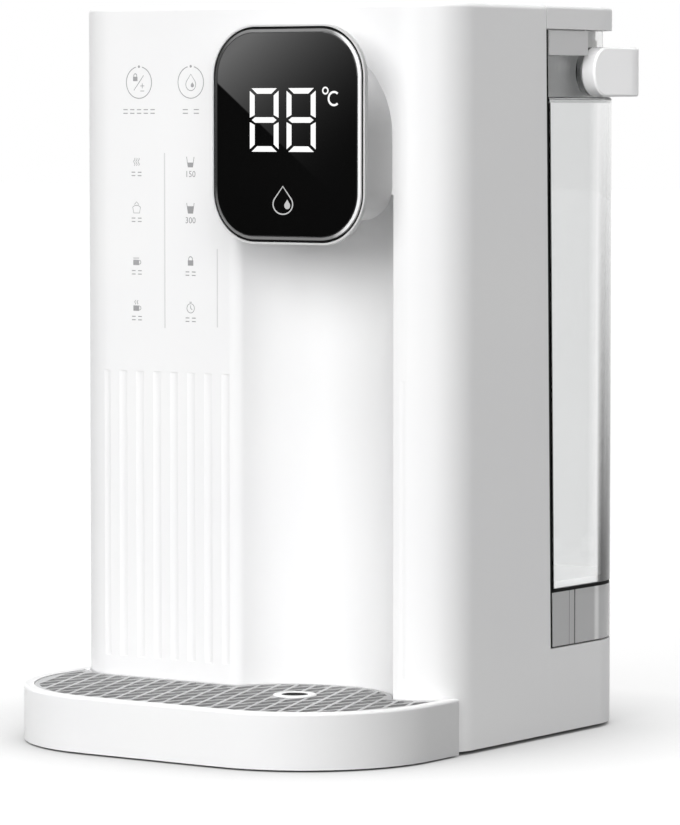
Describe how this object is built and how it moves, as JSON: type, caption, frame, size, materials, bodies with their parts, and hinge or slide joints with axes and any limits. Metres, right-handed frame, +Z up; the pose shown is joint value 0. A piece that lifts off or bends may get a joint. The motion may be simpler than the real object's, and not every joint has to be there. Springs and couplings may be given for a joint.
{
  "type": "hot water dispenser",
  "caption": "Desktop instant hot water dispenser with a display head over a cup recess, a wrap-around drip tray with a lattice grille, and a clear lift-out water tank behind.",
  "frame": {"origin": "on the floor, under the middle of the whole object's bounding box", "axes": "+Z up, -Y out of the front where the spout and tray are, +X to the right as seen from the front"},
  "size_m": [0.188, 0.2362, 0.3],
  "materials": {
    "white": "satin",
    "inner_plastic": "matt",
    "dark_plastic": "matt",
    "clear": "clear",
    "smoke": "translucent",
    "black_glass": "polished",
    "bright_ring": "polished",
    "grille_metal": "satin",
    "black_rubber": "matt",
    "silicone": "satin",
    "board": "satin",
    "steel": "plain",
    "brass": "plain"
  },
  "bodies": {
    "machine": {"front_housing": "white", "bay_trim": "black_rubber", "rear_wall": "dark_plastic", "base_housing": "white", "bottom_plate": "inner_plastic", "rubber_feet": "black_rubber", "base_screws": "steel", "head_shell": "white", "display_gasket": "black_rubber", "display_bezel": "bright_ring", "display_glass": "black_glass", "display_board": "board", "outlet_nozzle": "steel", "flow_straightener": "silicone", "touch_board": "board", "tank_socket": "inner_plastic", "socket_seal": "silicone", "pump": "steel", "pump_cradle": "black_rubber", "heater": "steel", "heater_clips": "inner_plastic", "thermal_cutout": "steel", "temperature_sensor": "brass", "inlet_tube": "silicone", "pump_tube": "silicone", "outlet_tube": "silicone", "power_board": "board", "cord_gland": "black_rubber"},
    "tray": {"drip_tray": "white", "tray_pads": "black_rubber"},
    "grille": {"drip_grille": "grille_metal", "drain_ring": "white", "drain_plug": "black_rubber"},
    "tank": {"water_tank": "clear", "tank_liner": "white", "tank_seal": "black_rubber", "tank_base": "smoke", "handle_pins": "inner_plastic", "valve_body": "inner_plastic", "valve_nut": "inner_plastic", "valve_spring": "steel", "valve_cap": "inner_plastic", "tank_filter": "white"},
    "lid": {"tank_lid": "white", "lid_seal": "silicone"},
    "handle": {"tank_handle": "white"},
    "poppet": {"valve_poppet": "inner_plastic", "valve_gasket": "silicone"}
  },
  "joints": [
    {"name": "tray_slide", "type": "slide", "parent": "machine", "child": "tray", "axis": [0, -1, 0], "range_m": [0, 0.09]},
    {"name": "grille_lift", "type": "slide", "parent": "tray", "child": "grille", "axis": [0, 0, 1], "range_m": [0, 0.04]},
    {"name": "tank_lift", "type": "slide", "parent": "machine", "child": "tank", "axis": [0, 0, 1], "range_m": [0, 0.12]},
    {"name": "lid_lift", "type": "slide", "parent": "tank", "child": "lid", "axis": [0, 0, 1], "range_m": [0, 0.05]},
    {"name": "handle_swing", "type": "hinge", "parent": "tank", "child": "handle", "pos_m": [0, 0.07415, 0.2735], "axis": [1, 0, 0], "range_deg": [0, 20]},
    {"name": "poppet_slide", "type": "slide", "parent": "tank", "child": "poppet", "axis": [0, 0, 1], "range_m": [0, 0.0025], "stiffness_N_per_m": 200, "springref_m": -0.003, "deforming": ["valve_spring"]}
  ]
}
